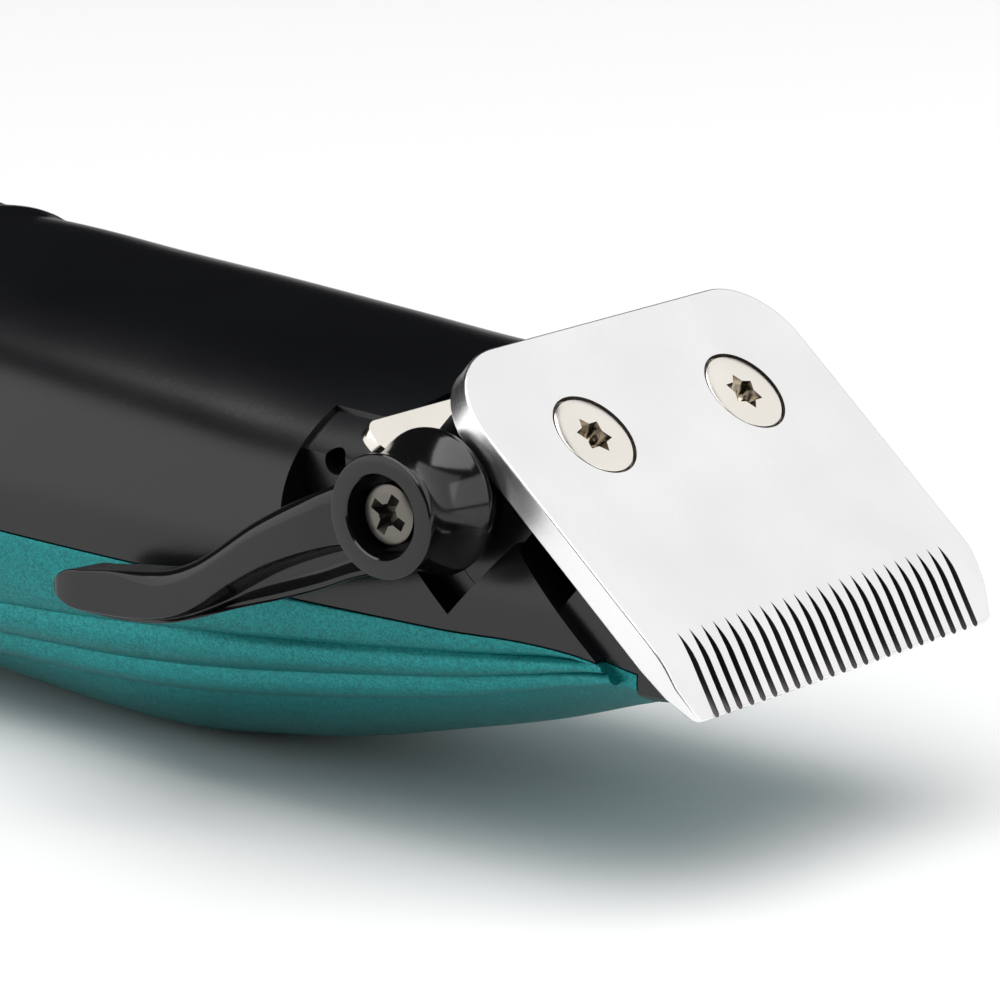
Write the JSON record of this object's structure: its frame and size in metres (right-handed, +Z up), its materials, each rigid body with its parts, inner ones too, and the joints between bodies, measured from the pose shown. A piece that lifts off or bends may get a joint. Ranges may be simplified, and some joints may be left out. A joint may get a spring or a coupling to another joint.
{
  "type": "electric pet clipper",
  "caption": "Mains pet hair clipper with a screwed-on toothed comb blade, a side taper lever, a magnetic drive and a two-part shell body.",
  "frame": {"origin": "middle of the flat on the coloured back, where the clipper rests with its underside up", "axes": "+X towards the blade, +Z up from the back to the underside, -Y the taper lever's side"},
  "size_m": [0.1777, 0.0564, 0.0428],
  "materials": {
    "black_plastic": "satin moulded, fine grain",
    "teal_paint": "satin metallic paint with fine flake",
    "lever_plastic": "smooth satin black",
    "blade_steel": "bright ground steel",
    "nickel": "bright nickel plate",
    "dark_steel": "dark zinc plated",
    "spring_steel": "plain",
    "lamination": "stacked sheet, dull",
    "copper_wire": "enamelled winding",
    "brass": "machined",
    "white_nylon": "moulded",
    "grey_nylon": "moulded",
    "rubber": "soft matt",
    "wire_brown": "insulated lead",
    "wire_blue": "insulated lead"
  },
  "bodies": {
    "housing": {"underside_shell": "black_plastic", "back_cover": "teal_paint", "housing_screw_rear_left": "dark_steel", "housing_screw_rear_right": "dark_steel", "housing_screw_front_left": "dark_steel", "housing_screw_front_right": "dark_steel", "cord_inlet_bush": "rubber", "tension_spring": "spring_steel", "core_stack": "lamination", "core_screw_left": "dark_steel", "core_screw_right": "dark_steel", "coil_bobbin": "white_nylon", "coil_winding": "copper_wire", "pivot_pin": "spring_steel", "centring_spring_left": "spring_steel", "centring_spring_right": "spring_steel", "switch_body": "grey_nylon", "terminal_block": "white_nylon", "coil_lead": "wire_blue", "switch_to_coil_lead": "wire_brown", "switch_supply_lead": "wire_brown"},
    "blade_set": {"fixed_blade": "blade_steel", "blade_bracket": "nickel", "blade_screw_left": "nickel", "blade_screw_right": "nickel"},
    "cutter": {"cutter_blade": "blade_steel", "cutter_yoke": "white_nylon"},
    "taper_lever": {"taper_lever": "lever_plastic", "lever_screw": "dark_steel", "eccentric_shaft": "brass"},
    "drive_arm": {"armature_block": "lamination", "drive_arm": "grey_nylon", "pivot_bush": "brass"},
    "power_screw": {"power_screw": "dark_steel"},
    "switch_slider": {"switch_slider": "lever_plastic"}
  },
  "joints": [
    {"name": "lever_hinge", "type": "hinge", "parent": "housing", "child": "taper_lever", "pos_m": [0.0512, -0.027, 0.0314], "axis": [0, 1, 0], "range_deg": [0, 35]},
    {"name": "taper_slide", "type": "slide", "parent": "housing", "child": "blade_set", "axis": [0.7694, 0, -0.6388], "range_m": [0, 0.0015]},
    {"name": "arm_swing", "type": "hinge", "parent": "housing", "child": "drive_arm", "pos_m": [0.024, 0, 0.018], "axis": [0, 0, 1], "range_deg": [-1.75, 1.75], "stiffness_Nm_per_rad": 2},
    {"name": "cutter_slide", "type": "slide", "parent": "housing", "child": "cutter", "axis": [0, 1, 0], "range_m": [-0.0013, 0.0013]},
    {"name": "power_screw_turn", "type": "hinge", "parent": "housing", "child": "power_screw", "pos_m": [0.036, 0.02, 0.0245], "axis": [0, 1, 0], "range_deg": [-90, 90]},
    {"name": "switch_slide", "type": "slide", "parent": "housing", "child": "switch_slider", "axis": [1, 0, 0], "range_m": [0, 0.004]}
  ],
  "couplings": [
    {"joint": "lever_hinge", "follows": "taper_slide", "rad_per_m": 407.2},
    {"joint": "cutter_slide", "follows": "arm_swing", "m_per_rad": 0.0383}
  ]
}
